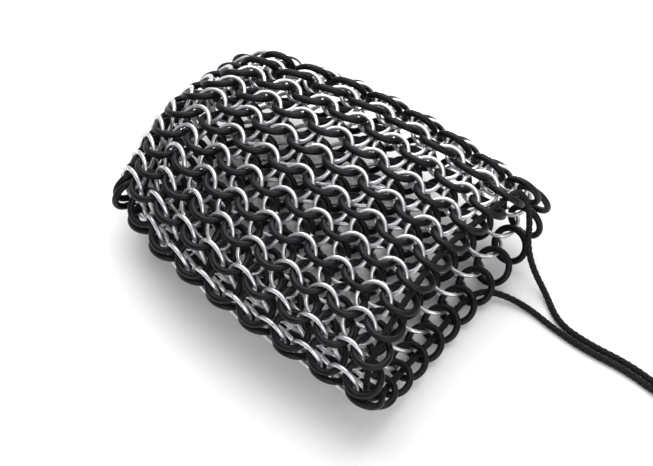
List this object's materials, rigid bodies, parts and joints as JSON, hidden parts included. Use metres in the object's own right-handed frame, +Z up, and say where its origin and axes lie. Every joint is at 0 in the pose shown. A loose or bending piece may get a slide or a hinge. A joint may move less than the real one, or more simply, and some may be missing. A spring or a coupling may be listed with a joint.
{
  "type": "chain mail drawstring pouch",
  "caption": "Flat puffed drawstring pouch woven from alternate strips of black rubber and bright aluminium rings, with a round black cord through the mouth.",
  "frame": {"origin": "on the surface that the pouch lies on, under the middle of its mail and threaded drawstring", "axes": "+X along the strips from the closed end to the mouth, +Y across the strips to the far seam, +Z up"},
  "size_m": [0.1973, 0.0896, 0.0401],
  "materials": {
    "wire": "satin",
    "rubber": "matt",
    "cord": "braided"
  },
  "bodies": {
    "mail": {"drawstring_in_mouth": "cord", "far_seam_rubber": "rubber", "lower_tail": "cord", "near_seam_wire": "wire", "strip_01_rubber": "rubber", "strip_02_wire": "wire", "strip_03_rubber": "rubber", "strip_04_wire": "wire", "strip_05_rubber": "rubber", "strip_06_wire": "wire", "strip_07_rubber": "rubber", "strip_08_wire": "wire", "strip_09_rubber": "rubber", "strip_10_wire": "wire", "strip_11_rubber": "rubber", "strip_12_wire": "wire", "strip_13_rubber": "rubber", "strip_14_wire": "wire", "strip_15_rubber": "rubber", "strip_16_wire": "wire", "strip_17_rubber": "rubber", "strip_18_wire": "wire", "strip_19_rubber": "rubber", "strip_20_wire": "wire", "strip_21_rubber": "rubber", "strip_22_wire": "wire", "tail_ends": "cord", "tail_knot": "cord", "upper_tail": "cord"},
    "upper_corner_ring_body": {"upper_corner_ring": "rubber"},
    "seam_corner_ring_body": {"seam_corner_ring": "rubber"},
    "lower_corner_ring_body": {"lower_corner_ring": "rubber"},
    "lower_loose_ring_body": {"lower_loose_ring": "rubber"}
  },
  "joints": [
    {"name": "upper_corner_ring_swing", "type": "hinge", "parent": "mail", "child": "upper_corner_ring_body", "pos_m": [0.03895, 0.03639, 0.02621], "axis": [0, -0.0882, 0.9961], "range_deg": [-6, 1]},
    {"name": "seam_corner_ring_swing", "type": "hinge", "parent": "mail", "child": "seam_corner_ring_body", "pos_m": [0.04047, 0.04075, 0.0194], "axis": [0, -0.1219, 0.9925], "range_deg": [-2, 70]},
    {"name": "lower_corner_ring_swing", "type": "hinge", "parent": "mail", "child": "lower_corner_ring_body", "pos_m": [0.04082, 0.03707, 0.01222], "axis": [0, 0.1801, 0.9836], "range_deg": [-14, 3]},
    {"name": "lower_loose_ring_swing", "type": "hinge", "parent": "mail", "child": "lower_loose_ring_body", "pos_m": [0.04019, 0.02245, 0.00539], "axis": [0, 0.7681, 0.6403], "range_deg": [-10, 3]}
  ]
}
